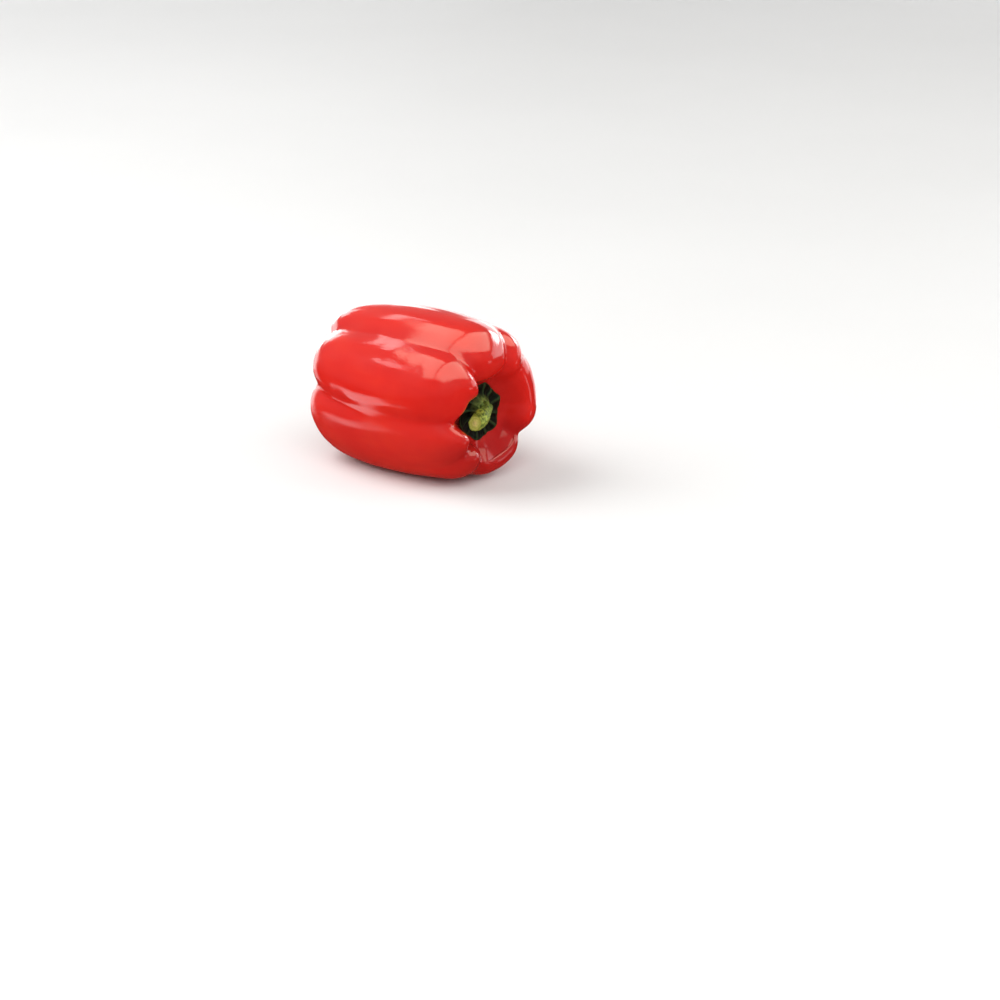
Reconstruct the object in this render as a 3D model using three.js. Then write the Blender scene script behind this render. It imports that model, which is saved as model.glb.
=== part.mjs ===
// Bell pepper lying on its side: a lobed fruit, the calyx and the cut stem in its cavity, and the scar of its
// flower.
// Millimetres, +Z up, +X towards the stem end, origin under the middle of the whole part.
// The fruit is drawn in its own frame first: x along its axis from the blossom end, and an angle around that
// axis, 0 towards +Y, 90 up and 180 towards the viewer of the photograph.
import * as THREE from 'three';

// Sizes that drive the fruit.
const LENGTH = 106;
const RADIUS = 42;
const CREST_RADIUS = 25;
const CAVITY_DEPTH = 12.7;
const SEAT_RADIUS = 12.2;
const DIMPLE_DEPTH = 7.5;
const AXIS_SHIFT = 5.6;
const AXIS_SHIFT_ANGLE = 119;
const RESTING_TILT = 1;
const RESTING_FLAT = 0.5;

// Sizes that drive the calyx and the stem.
const CALYX_RADIUS = 14.8;
const CALYX_RIM = 1;
const CALYX_CORNERS = 6;
const CALYX_TURN = 17;
const CALYX_RIBS = 12;
const CALYX_RIB = 0.7;
const LONG_SEPAL_ANGLE = 192;
const LONG_SEPAL_REACH = 0.1;
const COLLAR_RADIUS = 8;
const COLLAR_HEIGHT = 3.4;
const COLLAR_SHIFT = 2.2;
const STEM_ROOT_RADIUS = 3.5;
const STEM_NECK_RADIUS = 2.8;
const STEM_END_RADIUS = 4.4;
const STEM_RISE = 3.6;
const STEM_REACH = 12;
const STEM_LEAN_ANGLE = 202;
const CUT_DIRECTION = new THREE.Vector3(0.1, -0.93, 0.33).normalize();
const SCAR_RADIUS = 2.1;
const SCAR_HEIGHT = 0.9;
const GAP = 0.3;

// How finely the surfaces are divided.
const FRUIT_COLUMNS = 90;
const FRUIT_ROWS_PER_STATION = 4;
const CALYX_COLUMNS = 72;
const CALYX_ROWS = 10;
const STEM_COLUMNS = 24;
const STEM_ROWS = 18;

// The mean outline, walked from the middle of the stem cavity over the shoulder to the blossom end.
const SEAT_HEIGHT = LENGTH - CAVITY_DEPTH;
const FOOT_HEIGHT = LENGTH * 0.033;
const OUTLINE = [
  { name: 'centre', radius: 0, height: SEAT_HEIGHT },
  { name: 'seat', radius: SEAT_RADIUS, height: SEAT_HEIGHT },
  { name: 'wall', radius: CREST_RADIUS * 0.72, height: SEAT_HEIGHT + CAVITY_DEPTH * 0.37 },
  { name: 'crest', radius: CREST_RADIUS, height: LENGTH },
  { name: 'shoulder', radius: RADIUS * 0.82, height: LENGTH * 0.969 },
  { name: 'upper', radius: RADIUS * 0.969, height: LENGTH * 0.814 },
  { name: 'middle', radius: RADIUS, height: LENGTH * 0.5575 },
  { name: 'lower', radius: RADIUS * 0.96, height: LENGTH * 0.301 },
  { name: 'corner', radius: RADIUS * 0.796, height: LENGTH * 0.0975 },
  { name: 'foot', radius: RADIUS * 0.493, height: FOOT_HEIGHT },
  { name: 'dimple', radius: RADIUS * 0.202, height: FOOT_HEIGHT + DIMPLE_DEPTH * 0.5 },
  { name: 'end', radius: 0, height: FOOT_HEIGHT + DIMPLE_DEPTH },
];
const LAST = OUTLINE.length - 1;

// Furrows between the lobes: the angle at the crest, the middle and the foot, and the depth at the same
// places.
const FURROWS = [
  { crest: 120, middle: 124, foot: 124, depths: [4.4, 3.4, 5], width: 12.5 },
  { crest: 183, middle: 184, foot: 174, depths: [5.2, 2.4, 5.6], width: 12.5 },
  { crest: 226, middle: 227, foot: 227, depths: [3.6, 0.3, 0], width: 11 },
  { crest: 257, middle: 265, foot: 269, depths: [4.4, 3.8, 5.6], width: 13 },
  { crest: 319, middle: 328, foot: 333, depths: [4.8, 2.8, 5], width: 13 },
  { crest: 40, middle: 40, foot: 41, depths: [3, 2.5, 5], width: 13 },
  { crest: 65, middle: 68, foot: 70, depths: [3.4, 0.2, 0], width: 9 },
];

// How far a furrow has gone from its crest value to its middle value and on to its foot value, by station.
const FURROW_COURSE = [0, 0, 0, 0, 0.3, 0.8, 1, 1.28, 1.7, 2, 2, 2];
const FURROW_STRENGTH = [0, 0, 0.5, 1, 1, 1, 1, 1, 0.95, 1, 0.42, 0];
const FURROW_SPREAD = [1.2, 1.2, 1.1, 0.9, 0.9, 1, 1.05, 1, 0.88, 1, 1.4, 1.4];
const FURROW_ROUNDNESS = 0.35;

// Places where a lobe stands out more, or less, than the mean outline.
const BULGES = [
  { angle: 50, spread: 16, station: 3.9, reach: 1.4, height: 2.4 },
  { angle: 94, spread: 30, station: 2.3, reach: 0.8, height: 3.2 },
  { angle: 97, spread: 26, station: 6, reach: 2.4, height: 1 },
  { angle: 102, spread: 17, station: 3.35, reach: 0.6, height: 2.2 },
  { angle: 106, spread: 25, station: 9, reach: 1.1, height: 4.6 },
  { angle: 134, spread: 19, station: 2.5, reach: 0.9, height: 2 },
  { angle: 146, spread: 24, station: 3.1, reach: 1.2, height: 5.2 },
  { angle: 152, spread: 11, station: 2.8, reach: 0.8, height: -2.2 },
  { angle: 204, spread: 13, station: 2.8, reach: 0.8, height: 3 },
  { angle: 217, spread: 34, station: 7.3, reach: 1.5, height: 3 },
  { angle: 238, spread: 14, station: 2.4, reach: 0.8, height: 2.5 },
  { angle: 240, spread: 18, station: 6.4, reach: 2.6, height: 1 },
  { angle: 288, spread: 24, station: 2.9, reach: 0.9, height: -6 },
  { angle: 297, spread: 20, station: 6.4, reach: 2.6, height: -0.6 },
  { angle: 300, spread: 16, station: 3.6, reach: 1.5, height: 1.2 },
  { angle: 342, spread: 14, station: 3.6, reach: 1.6, height: 1.6 },
];

const SKIN = new THREE.MeshStandardMaterial({ name: 'skin', color: 0xc81e1a, roughness: 0.2 });
const SEPAL = new THREE.MeshStandardMaterial({ name: 'sepal', color: 0x1d2f12, roughness: 0.6 });
const STALK = new THREE.MeshStandardMaterial({ name: 'stalk', color: 0x6f8a2c, roughness: 0.6 });
const SCAR = new THREE.MeshStandardMaterial({ name: 'scar', color: 0xb89a6a, roughness: 0.8 });

const radians = (degrees) => (degrees * Math.PI) / 180;
const mix = (a, b, share) => a + (b - a) * share;
const bell = (x) => Math.exp(-x * x);

function smoothStep(from, to, x) {
  const share = Math.min(1, Math.max(0, (x - from) / (to - from)));
  return share * share * (3 - 2 * share);
}

function turnBetween(a, b) {
  return ((((a - b + 180) % 360) + 360) % 360) - 180;
}

// A value given at every station, joined by smooth steps.
function atStation(values, t) {
  const k = Math.min(LAST - 1, Math.floor(t));
  return mix(values[k], values[k + 1], smoothStep(0, 1, t - k));
}

// A natural cubic through the points (knots, values), as a function that returns value and slope.
function cubicThrough(knots, values) {
  const n = knots.length;
  const bend = new Array(n).fill(0);
  const upper = new Array(n).fill(0);
  for (let i = 1; i < n - 1; i += 1) {
    const before = knots[i] - knots[i - 1];
    const after = knots[i + 1] - knots[i];
    const jump = 6 * ((values[i + 1] - values[i]) / after - (values[i] - values[i - 1]) / before);
    const pivot = 2 * (before + after) - before * upper[i - 1];
    upper[i] = after / pivot;
    bend[i] = (jump - before * bend[i - 1]) / pivot;
  }
  for (let i = n - 2; i > 0; i -= 1) {
    bend[i] -= upper[i] * bend[i + 1];
  }
  return (x) => {
    let k = 0;
    while (k < n - 2 && x > knots[k + 1]) {
      k += 1;
    }
    const span = knots[k + 1] - knots[k];
    const from = x - knots[k];
    const left = knots[k + 1] - x;
    const lower = values[k] / span - (bend[k] * span) / 6;
    const higher = values[k + 1] / span - (bend[k + 1] * span) / 6;
    const value = (bend[k] * left ** 3 + bend[k + 1] * from ** 3) / (6 * span) + higher * from + lower * left;
    const slope = (bend[k + 1] * from ** 2 - bend[k] * left ** 2) / (2 * span) + higher - lower;
    return { value, slope };
  };
}

// The outline's curve: station number to radius, height and the direction that faces outwards.
function outlineCurve() {
  const distance = [0];
  for (let i = 1; i <= LAST; i += 1) {
    const across = OUTLINE[i].radius - OUTLINE[i - 1].radius;
    const along = OUTLINE[i].height - OUTLINE[i - 1].height;
    distance.push(distance[i - 1] + Math.hypot(across, along));
  }
  // Two mirrored points past each end keep the surface square to the axis where it meets it.
  const first = [2, 1].map((i) => (
    { at: -distance[i], radius: -OUTLINE[i].radius, height: OUTLINE[i].height }
  ));
  const inner = OUTLINE.map((p, i) => ({ at: distance[i], radius: p.radius, height: p.height }));
  const final = [1, 2].map((i) => {
    const p = OUTLINE[LAST - i];
    return { at: 2 * distance[LAST] - distance[LAST - i], radius: -p.radius, height: p.height };
  });
  const points = [...first, ...inner, ...final];
  const knots = points.map((p) => p.at);
  const radius = cubicThrough(knots, points.map((p) => p.radius));
  const height = cubicThrough(knots, points.map((p) => p.height));
  return (t) => {
    const k = Math.min(LAST - 1, Math.floor(t));
    const walked = mix(distance[k], distance[k + 1], t - k);
    const r = radius(walked);
    const h = height(walked);
    const length = Math.hypot(r.slope, h.slope);
    return { radius: r.value, height: h.value, outward: -h.slope / length, onward: r.slope / length };
  };
}

// How far the skin stands out from the mean outline at a station and an angle.
function relief(t, angle) {
  const course = atStation(FURROW_COURSE, t);
  const strength = atStation(FURROW_STRENGTH, t);
  const spread = atStation(FURROW_SPREAD, t);
  let out = 0;
  for (const furrow of FURROWS) {
    const [crest, middle, foot] = furrow.depths;
    const late = course > 1;
    const centre = late
      ? mix(furrow.middle, furrow.foot, course - 1)
      : mix(furrow.crest, furrow.middle, course);
    const depth = late ? mix(middle, foot, course - 1) : mix(crest, middle, course);
    const away = turnBetween(angle, centre) / (furrow.width * spread);
    const rounded = Math.hypot(away, FURROW_ROUNDNESS) - FURROW_ROUNDNESS;
    out -= depth * strength * Math.exp(-1.35 * rounded);
  }
  for (const bulge of BULGES) {
    const around = bell(turnBetween(angle, bulge.angle) / bulge.spread);
    out += bulge.height * around * bell((t - bulge.station) / bulge.reach);
  }
  return out * smoothStep(1, 2.6, t) * (1 - smoothStep(10, 11, t));
}

// A point of the skin in the fruit's own frame.
function skinPoint(curve, t, angle) {
  const p = curve(t);
  const out = relief(t, angle);
  const r = p.radius + p.outward * out;
  const shift = AXIS_SHIFT * smoothStep(1, 5, t);
  const y = r * Math.cos(radians(angle)) + shift * Math.cos(radians(AXIS_SHIFT_ANGLE));
  const z = r * Math.sin(radians(angle)) + shift * Math.sin(radians(AXIS_SHIFT_ANGLE));
  return new THREE.Vector3(p.height + p.onward * out, y, z);
}

// A closed body from rows of points: rings of equal length between a first and a last point.
function closedBody(firstPoint, rings, lastPoint, flip) {
  const columns = rings[0].length;
  const points = [firstPoint, ...rings.flat(), lastPoint];
  const last = points.length - 1;
  const at = (row, column) => 1 + row * columns + (column % columns);
  const faces = [];
  const face = (a, b, c) => faces.push(...(flip ? [a, c, b] : [a, b, c]));
  for (let j = 0; j < columns; j += 1) {
    face(0, at(0, j), at(0, j + 1));
    face(last, at(rings.length - 1, j + 1), at(rings.length - 1, j));
    for (let i = 0; i < rings.length - 1; i += 1) {
      face(at(i, j), at(i + 1, j), at(i + 1, j + 1));
      face(at(i, j), at(i + 1, j + 1), at(i, j + 1));
    }
  }
  const geometry = new THREE.BufferGeometry();
  const numbers = points.flatMap((p) => [p.x, p.y, p.z]);
  geometry.setAttribute('position', new THREE.Float32BufferAttribute(numbers, 3));
  geometry.setIndex(faces);
  return geometry;
}

function ring(columns, pointAt) {
  return Array.from({ length: columns }, (_, j) => pointAt((360 * j) / columns));
}

function fruitGeometry(curve) {
  const rings = [];
  for (let i = 1; i < LAST * FRUIT_ROWS_PER_STATION; i += 1) {
    rings.push(ring(FRUIT_COLUMNS, (angle) => skinPoint(curve, i / FRUIT_ROWS_PER_STATION, angle)));
  }
  return closedBody(skinPoint(curve, 0, 0), rings, skinPoint(curve, LAST, 0), false);
}

// The station between two others at which the mean outline has a given radius.
function stationAtRadius(curve, radius, middle, outer) {
  let inside = middle;
  let outside = outer;
  for (let i = 0; i < 40; i += 1) {
    const half = (inside + outside) / 2;
    if (curve(half).radius < radius) {
      inside = half;
    } else {
      outside = half;
    }
  }
  return (inside + outside) / 2;
}

// A body that lies on the skin: its underside follows the skin and its top stands a thickness above it.
function bodyOnSkin(curve, place) {
  const { middle, outer, facing, rows, columns, edge, thickness } = place;
  const pointAt = (share, angle, above) => {
    const station = stationAtRadius(curve, edge(angle) * share, middle, outer);
    const p = skinPoint(curve, station, angle);
    p.x += facing * (GAP + above);
    return p;
  };
  const shares = Array.from({ length: rows }, (_, i) => (i + 1) / rows);
  const under = shares.map((share) => ring(columns, (angle) => pointAt(share, angle, 0)));
  const over = shares.map((share) => (
    ring(columns, (angle) => pointAt(share, angle, thickness(share, angle)))
  ));
  const middleBelow = pointAt(0, 0, 0);
  const middleAbove = pointAt(0, 0, thickness(0, 0));
  return closedBody(middleBelow, [...under, ...over.reverse()], middleAbove, facing > 0);
}

// Equal swellings around the calyx: 1 on the line of each and 0 between two of them.
function swelling(angle, count, sharpness) {
  return (0.5 + 0.5 * Math.cos(radians((angle - CALYX_TURN) * count))) ** sharpness;
}

// The calyx's rim: rounded corners, and one long sepal that reaches into the furrow beside it.
function calyxEdge(angle) {
  const corners = 0.095 * swelling(angle, CALYX_CORNERS, 1.2);
  const longSepal = LONG_SEPAL_REACH * bell(turnBetween(angle, LONG_SEPAL_ANGLE) / 22);
  return CALYX_RADIUS * (0.905 + corners + longSepal);
}

// The calyx: a rim, ribs that run outwards, and a collar that rises to the stem a little above the centre.
function calyxThickness(share, angle) {
  const radius = calyxEdge(angle) * share;
  const sideways = radius * Math.cos(radians(angle));
  const upwards = radius * Math.sin(radians(angle)) - COLLAR_SHIFT;
  const distance = Math.hypot(sideways, upwards);
  const rim = CALYX_RIM * (1 - 0.55 * smoothStep(0.86, 1, share));
  const outer = smoothStep(STEM_ROOT_RADIUS, COLLAR_RADIUS, distance) * (1 - smoothStep(0.9, 1, share));
  const rib = CALYX_RIB * (swelling(angle, CALYX_RIBS, 3) - 0.35) * outer;
  const collar = COLLAR_HEIGHT * (1 - smoothStep(STEM_ROOT_RADIUS * 0.9, COLLAR_RADIUS, distance));
  return rim + rib + collar;
}

function calyxGeometry(curve) {
  return bodyOnSkin(curve, {
    middle: 0,
    outer: 2,
    facing: 1,
    rows: CALYX_ROWS,
    columns: CALYX_COLUMNS,
    edge: calyxEdge,
    thickness: calyxThickness,
  });
}

function scarGeometry(curve) {
  return bodyOnSkin(curve, {
    middle: LAST,
    outer: LAST - 1,
    facing: -1,
    rows: 3,
    columns: 18,
    edge: () => SCAR_RADIUS,
    thickness: (share) => SCAR_HEIGHT * (1 - 0.75 * share * share),
  });
}

// The stem rises from the collar, leans over and widens towards a slanting knife cut.
function stemGeometry() {
  const foot = SEAT_HEIGHT + GAP + CALYX_RIM + COLLAR_HEIGHT + GAP;
  const lean = new THREE.Vector3(0, Math.cos(radians(STEM_LEAN_ANGLE)), Math.sin(radians(STEM_LEAN_ANGLE)));
  const along = new THREE.Vector3(1, 0, 0);
  const place = (rise, reach) => new THREE.Vector3(foot + rise, 0, COLLAR_SHIFT).addScaledVector(lean, reach);
  const path = new THREE.CubicBezierCurve3(
    place(0, 0),
    place(STEM_RISE * 0.5, 0),
    place(STEM_RISE * 1.1, STEM_REACH * 0.45),
    place(STEM_RISE * 0.9, STEM_REACH),
  );
  const radiusAt = (share) => {
    const root = (STEM_ROOT_RADIUS - STEM_NECK_RADIUS) * (1 - smoothStep(0, 0.3, share));
    const flare = (STEM_END_RADIUS - STEM_NECK_RADIUS) * smoothStep(0.35, 0.85, share);
    const rounding = 0.5 * smoothStep(0.92, 1, share);
    return STEM_NECK_RADIUS + root + flare - rounding;
  };
  const rings = [];
  for (let i = 0; i <= STEM_ROWS; i += 1) {
    const share = i / STEM_ROWS;
    const middle = path.getPoint(share);
    // Towards its end the cross-section turns from square to the stem to the slant of the cut.
    const facing = path.getTangent(share).lerp(CUT_DIRECTION, smoothStep(0.5, 1, share)).normalize();
    const sideways = new THREE.Vector3().crossVectors(along, lean);
    sideways.addScaledVector(facing, -facing.dot(sideways)).normalize();
    const across = new THREE.Vector3().crossVectors(sideways, facing);
    const ridge = mix(0.1, 0.03, smoothStep(0.3, 1, share));
    rings.push(ring(STEM_COLUMNS, (angle) => {
      const radius = radiusAt(share) * (1 + ridge * Math.cos(radians(angle * (CALYX_RIBS / 2))));
      return middle.clone()
        .addScaledVector(across, radius * Math.cos(radians(angle)))
        .addScaledVector(sideways, radius * Math.sin(radians(angle)));
    }));
  }
  return closedBody(path.getPoint(0), rings, path.getPoint(1), true);
}

// Lay the part down as it rests: tilt it, press its lowest skin flat on the ground, and centre it over the
// origin.
function layDown(geometries) {
  const tilt = new THREE.Matrix4().makeRotationY(-radians(RESTING_TILT));
  for (const geometry of geometries) {
    geometry.applyMatrix4(tilt);
  }
  const fruit = geometries[0];
  fruit.computeBoundingBox();
  const drop = fruit.boundingBox.min.z + RESTING_FLAT;
  const box = new THREE.Box3();
  for (const geometry of geometries) {
    geometry.translate(0, 0, -drop);
    const position = geometry.getAttribute('position');
    for (let i = 0; i < position.count; i += 1) {
      position.setZ(i, Math.max(0, position.getZ(i)));
    }
    geometry.computeBoundingBox();
    box.union(geometry.boundingBox);
  }
  const centre = box.getCenter(new THREE.Vector3());
  for (const geometry of geometries) {
    geometry.translate(-centre.x, -centre.y, 0);
    geometry.computeVertexNormals();
  }
}

function buildPart() {
  const curve = outlineCurve();
  const pieces = [
    { name: 'fruit', geometry: fruitGeometry(curve), material: SKIN },
    { name: 'calyx', geometry: calyxGeometry(curve), material: SEPAL },
    { name: 'stem', geometry: stemGeometry(), material: STALK },
    { name: 'blossom_scar', geometry: scarGeometry(curve), material: SCAR },
  ];
  layDown(pieces.map((piece) => piece.geometry));
  const group = new THREE.Group();
  group.name = 'bell_pepper';
  for (const piece of pieces) {
    const mesh = new THREE.Mesh(piece.geometry, piece.material);
    mesh.name = piece.name;
    group.add(mesh);
  }
  return group;
}

export default buildPart();
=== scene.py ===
"""Looks of a bell pepper lying on its side: fine skin, calyx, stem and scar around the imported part."""
import math

import bpy
import numpy as np
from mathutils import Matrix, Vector, noise


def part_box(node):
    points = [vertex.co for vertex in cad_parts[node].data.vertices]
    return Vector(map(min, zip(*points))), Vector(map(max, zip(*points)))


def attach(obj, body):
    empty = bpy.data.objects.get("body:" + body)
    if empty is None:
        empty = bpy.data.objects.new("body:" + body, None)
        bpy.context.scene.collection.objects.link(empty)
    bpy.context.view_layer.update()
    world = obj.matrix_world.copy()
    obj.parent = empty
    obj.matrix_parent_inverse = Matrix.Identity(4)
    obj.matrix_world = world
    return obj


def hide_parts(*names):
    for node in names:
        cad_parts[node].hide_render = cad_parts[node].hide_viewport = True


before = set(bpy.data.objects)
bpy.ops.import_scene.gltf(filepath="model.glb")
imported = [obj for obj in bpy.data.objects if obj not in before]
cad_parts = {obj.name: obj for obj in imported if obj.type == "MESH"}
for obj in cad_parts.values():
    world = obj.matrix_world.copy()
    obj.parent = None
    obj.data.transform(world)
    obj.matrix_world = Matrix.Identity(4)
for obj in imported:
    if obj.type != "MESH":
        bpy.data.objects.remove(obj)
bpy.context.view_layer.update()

# Sizes that drive the fruit, in millimetres, as in the part.
LENGTH = 106.0
RADIUS = 42.0
CREST_RADIUS = 25.0
CAVITY_DEPTH = 12.7
SEAT_RADIUS = 12.2
DIMPLE_DEPTH = 7.5
AXIS_SHIFT = 5.6
AXIS_SHIFT_ANGLE = 119.0
AXIS_SHIFT_STATIONS = (1, 5)
RESTING_TILT = 1.0
MM_PER_METRE = 1000

# Sizes that drive the calyx. The mean edge and the reaches are shares of its radius.
CALYX_RADIUS = 14.8
CALYX_MEAN_EDGE = 0.895
CALYX_RIM = 1.0
CALYX_CORNERS = 6
CALYX_CORNER_REACH = 0.08
CALYX_CORNER_SHARPNESS = 1.2
CALYX_TURN = 17.0
CALYX_RIBS = 12
CALYX_RIB = 0.7
CALYX_RIB_SHARPNESS = 3
CALYX_RIB_SUNK = 0.35
CALYX_RIB_UNEVENNESS = 0.5
CALYX_RIB_TIP_REACH = 0.012
CALYX_RIB_TIP_SHARPNESS = 4
LONG_SEPAL_ANGLE = 192.0
LONG_SEPAL_SPREAD = 22
LONG_SEPAL_REACH = 0.1
COLLAR_RADIUS = 8.0
COLLAR_HEIGHT = 3.4
COLLAR_SHIFT = 2.2
# The veins' height, and the noise that the veins and the ribs' unevenness come from: how closely it crowds
# around the calyx and outward, and the length of the veins in it.
VEIN_HEIGHT = 0.3
VEINS_AROUND = 7
VEINS_OUTWARD = 1.2
VEIN_LENGTH = 0.45
# Crinkles of the calyx rim: reach, how many go around, and the angle that they are turned by.
CRINKLES = [(0.01, 7, 0), (0.006, 19, 50)]
# The rim thins by a share of its thickness from this share of the way out, and the ribs end at the other.
RIM_THINNING = 0.7
RIM_START = 0.86
RIBS_END = 0.9

# Sizes that drive the stem. The places where its root ends, it flares and its end is rounded are shares of
# its length.
STEM_ROOT_RADIUS = 3.5
STEM_NECK_RADIUS = 2.8
STEM_END_RADIUS = 4.4
STEM_RISE = 3.6
STEM_REACH = 12.0
STEM_LEAN_ANGLE = 202.0
STEM_SUNK = 1.2
ROOT_END = 0.3
FLARE = (0.35, 0.85)
END_ROUNDING = 0.5
END_ROUNDING_START = 0.92
# The four control points of the stem's centre line, as shares of its rise and of its reach.
STEM_RISES = (0, 0.5, 1.1, 0.9)
STEM_REACHES = (0, 0, 0.45, 1)
# Unevenness of the stem's side. Its heights are shares of the radius, and the knuckle's place and reach are
# shares of the length.
RIDGE_AT_ROOT = 0.1
RIDGE_AT_END = 0.03
FINE_RIDGE = 0.02
FINE_RIDGES = 14
FINE_RIDGE_TURN = 30
KNUCKLE = 0.14
KNUCKLE_PLACE = 0.5
KNUCKLE_REACH = 0.05
KNUCKLE_ANGLE = 20
# The cut face: its slant, where the stem starts to turn towards it, and the dish and roughness of the cut.
CUT_DIRECTION = (0.1, -0.93, 0.33)
CUT_TURN_START = 0.5
CUT_DISH = 0.35
CUT_DISH_WIDTH = 0.35
CUT_PITH = 0.2
CUT_PITH_REACH = 0.4
CUT_MIDDLE_DIP = 0.15
CUT_ROUGHNESS = 0.12
CUT_ROUGHNESS_LENGTH = 0.9

# Sizes that drive the scar: its waves are shares of its height and of its radius.
SCAR_RADIUS = 2.1
SCAR_HEIGHT = 0.9
SCAR_FALL = 0.75
SCAR_TOP_WAVE = 0.12
SCAR_TOP_WAVES = 5
SCAR_EDGE_WAVE = 0.04
SCAR_EDGE_WAVES = 3

# The gap between two pieces.
GAP = 0.3

# How finely the visible surfaces are divided.
FRUIT_COLUMNS = 480
FRUIT_ROWS_PER_STATION = 26
CALYX_COLUMNS = 240
CALYX_ROWS = 48
STEM_COLUMNS = 96
STEM_ROWS = 110
CUT_ROWS = 14
SCAR_COLUMNS = 64
SCAR_ROWS = 12
FITTING_COLUMNS = 180
FITTING_ROWS_PER_STATION = 8

# The camera: the photograph is 1000 pixels square, and the calyx is seen in it at CALYX_PIXEL.
FRAME_PIXELS = 1000
PIXELS_PER_MM = 2.017
CALYX_PIXEL = (480.2, 412.1)
CAMERA_AZIMUTH = 43.0
CAMERA_ELEVATION = 18.7
CAMERA_DISTANCE = 1.6
SENSOR_WIDTH = 36.0

# The mean outline, walked from the middle of the stem cavity over the shoulder to the blossom end.
SEAT_HEIGHT = LENGTH - CAVITY_DEPTH
FOOT_HEIGHT = LENGTH * 0.033
OUTLINE = {
    "centre": (0, SEAT_HEIGHT),
    "seat": (SEAT_RADIUS, SEAT_HEIGHT),
    "wall": (CREST_RADIUS * 0.72, SEAT_HEIGHT + CAVITY_DEPTH * 0.37),
    "crest": (CREST_RADIUS, LENGTH),
    "shoulder": (RADIUS * 0.82, LENGTH * 0.969),
    "upper": (RADIUS * 0.969, LENGTH * 0.814),
    "middle": (RADIUS, LENGTH * 0.5575),
    "lower": (RADIUS * 0.96, LENGTH * 0.301),
    "corner": (RADIUS * 0.796, LENGTH * 0.0975),
    "foot": (RADIUS * 0.493, FOOT_HEIGHT),
    "dimple": (RADIUS * 0.202, FOOT_HEIGHT + DIMPLE_DEPTH * 0.5),
    "end": (0, FOOT_HEIGHT + DIMPLE_DEPTH),
}
OUTLINE_RADIUS, OUTLINE_HEIGHT = np.array(list(OUTLINE.values()), float).T
LAST = len(OUTLINE) - 1

# Furrows: the angle at the crest, the middle and the foot, the depth at the same places, and the width.
FURROWS = [
    {"angles": (120, 124, 124), "depths": (4.4, 3.4, 5), "width": 12.5},
    {"angles": (183, 184, 174), "depths": (5.2, 2.4, 5.6), "width": 12.5},
    {"angles": (226, 227, 227), "depths": (3.6, 0.3, 0), "width": 11},
    {"angles": (257, 265, 269), "depths": (4.4, 3.8, 5.6), "width": 13},
    {"angles": (319, 328, 333), "depths": (4.8, 2.8, 5), "width": 13},
    {"angles": (40, 40, 41), "depths": (3, 2.5, 5), "width": 13},
    {"angles": (65, 68, 70), "depths": (3.4, 0.2, 0), "width": 9},
]
FURROW_COURSE = [0, 0, 0, 0, 0.3, 0.8, 1, 1.28, 1.7, 2, 2, 2]
FURROW_STRENGTH = [0, 0, 0.5, 1, 1, 1, 1, 1, 0.95, 1, 0.42, 0]
FURROW_SPREAD = [1.2, 1.2, 1.1, 0.9, 0.9, 1, 1.05, 1, 0.88, 1, 1.4, 1.4]
FURROW_ROUNDNESS = 0.35
FURROW_STEEPNESS = 1.35
# The furrow depth, in millimetres, at which the painted shade in the furrows is full.
FURROW_FULL_SHADE = 5

# Places where a lobe stands out more, or less, than the mean outline: angle, spread, station, reach and
# height.
BULGES = [
    (50, 16, 3.9, 1.4, 2.4),
    (94, 30, 2.3, 0.8, 3.2),
    (97, 26, 6, 2.4, 1),
    (102, 17, 3.35, 0.6, 2.2),
    (106, 25, 9, 1.1, 4.6),
    (134, 19, 2.5, 0.9, 2),
    (146, 24, 3.1, 1.2, 5.2),
    (152, 11, 2.8, 0.8, -2.2),
    (204, 13, 2.8, 0.8, 3),
    (217, 34, 7.3, 1.5, 3),
    (238, 14, 2.4, 0.8, 2.5),
    (240, 18, 6.4, 2.6, 1),
    (288, 24, 2.9, 0.9, -6),
    (297, 20, 6.4, 2.6, -0.6),
    (300, 16, 3.6, 1.5, 1.2),
    (342, 14, 3.6, 1.6, 1.6),
]

# Soft ranges: where something fades in and where it fades out, in stations or in degrees around the fruit.
RELIEF_STATIONS = ((1, 2.6), (10, 11))
UNEVEN_STATIONS = ((1.2, 2.6), (10.2, 11))
STREAKED_STATIONS = ((3.2, 4.6), (8.5, 9.5))
UNDERSIDE_ANGLES = ((183, 193), (240, 262))
UNDERSIDE_START = (3.2, 5)
# Painted shade: the angles and stations where the skin is painted darker low on the stem end.
STEM_END_SHADE_ANGLES = ((186, 216), (322, 345))
STEM_END_SHADE_STATIONS = ((1, 2), (3.4, 5.4))
# Painted shade: the pocket beside the calyx, between two lobes, is painted near-black.
POCKET_SHADE_ANGLE = 192
POCKET_SHADE_SPREAD = 18
POCKET_SHADE_END = (2.1, 2.8)

# Patches of skin with a surface of their own: angle, spread, station and reach.
SKIN_PATCHES = {
    "wrinkled": (136, 16, 5.2, 1.3),
    "dimpled": (138, 14, 5.9, 0.5),
    "brushed": (136, 15, 5.5, 1.1),
}

# Small waves in the skin: height, length, how they are scaled along the fruit, and where in the noise they
# are taken from.
SKIN_WAVES = {
    "swells": (0.55, 24, 0.7, 3.1),
    "dents": (0.2, 9, 0.5, 7.7),
    "streaks": (0.07, 4, 0.12, 1.3),
    "wrinkles": (0.16, 5, 0.3, 9.6),
    "dimples": (0.5, 8, 0.6, 4.8),
}

# Puckers of the skin around the calyx: height, how closely they crowd around and along the fruit, and where.
PUCKER_HEIGHT = 0.35
PUCKERS_AROUND = 5
PUCKERS_ALONG = 0.25
PUCKER_STATION = 1.9
PUCKER_REACH = 0.8
PUCKER_START = (1.05, 1.5)

# The floor.
FLOOR_HALF_SIZE = 6.0
FLOOR_GREYS = [(0.3, (0.71, 0.71, 0.71)), (0.7, (0.74, 0.74, 0.74))]

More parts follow.
